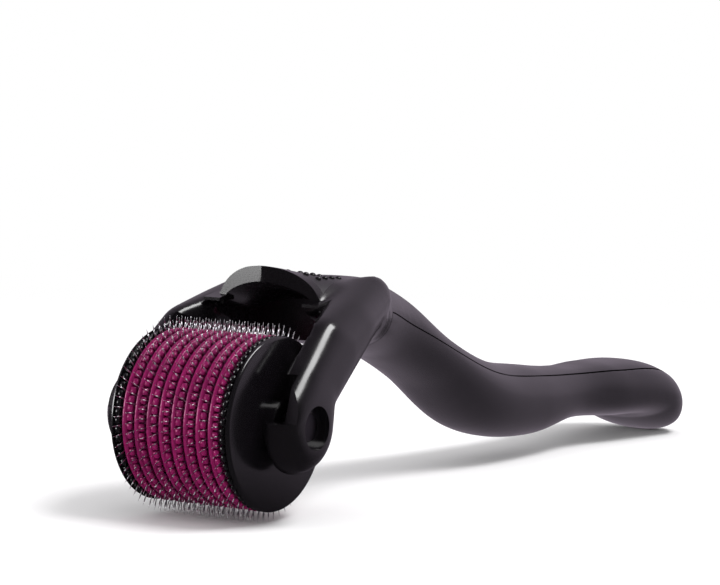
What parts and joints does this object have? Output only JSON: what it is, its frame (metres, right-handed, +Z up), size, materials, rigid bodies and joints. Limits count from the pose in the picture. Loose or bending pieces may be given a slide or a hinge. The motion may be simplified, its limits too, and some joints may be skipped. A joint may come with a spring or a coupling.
{
  "type": "derma roller",
  "caption": "Microneedle skin roller: a spinning drum of stacked rings and needle discs in a forked, S-curved handle with a textured finger pad.",
  "frame": {"origin": "middle of the length and width, on the surface that the needle tips and the tail of the handle rest on", "axes": "+X from the drum towards the tail of the handle, +Y along the drum's axis towards the left end cap, +Z up"},
  "size_m": [0.1356, 0.0294, 0.0308],
  "materials": {
    "handle_plastic": "gloss black moulded ABS",
    "pad_plastic": "black moulded ABS with raised dots",
    "cap_plastic": "gloss black moulded polycarbonate",
    "ring_plastic": "magenta tinted polycarbonate",
    "needle_steel": "bright stainless steel",
    "axle_steel": "drawn stainless steel pin"
  },
  "bodies": {
    "handle": {"upper_shell": "handle_plastic", "lower_shell": "handle_plastic", "finger_pad": "pad_plastic"},
    "drum": {"axle": "axle_steel", "drum_core": "ring_plastic", "end_cap_left": "cap_plastic", "end_cap_right": "cap_plastic", "ring_1": "ring_plastic", "ring_2": "ring_plastic", "ring_3": "ring_plastic", "ring_4": "ring_plastic", "ring_5": "ring_plastic", "ring_6": "ring_plastic", "ring_7": "ring_plastic", "ring_8": "ring_plastic", "needle_row_1": "needle_steel", "needle_row_2": "needle_steel", "needle_row_3": "needle_steel", "needle_row_4": "needle_steel", "needle_row_5": "needle_steel", "needle_row_6": "needle_steel", "needle_row_7": "needle_steel", "needle_row_8": "needle_steel", "needle_row_9": "needle_steel"}
  },
  "joints": [
    {"name": "drum_spin", "type": "hinge", "parent": "handle", "child": "drum", "pos_m": [-0.05527, 0, 0.0125], "axis": [0, 1, 0], "continuous": true}
  ]
}
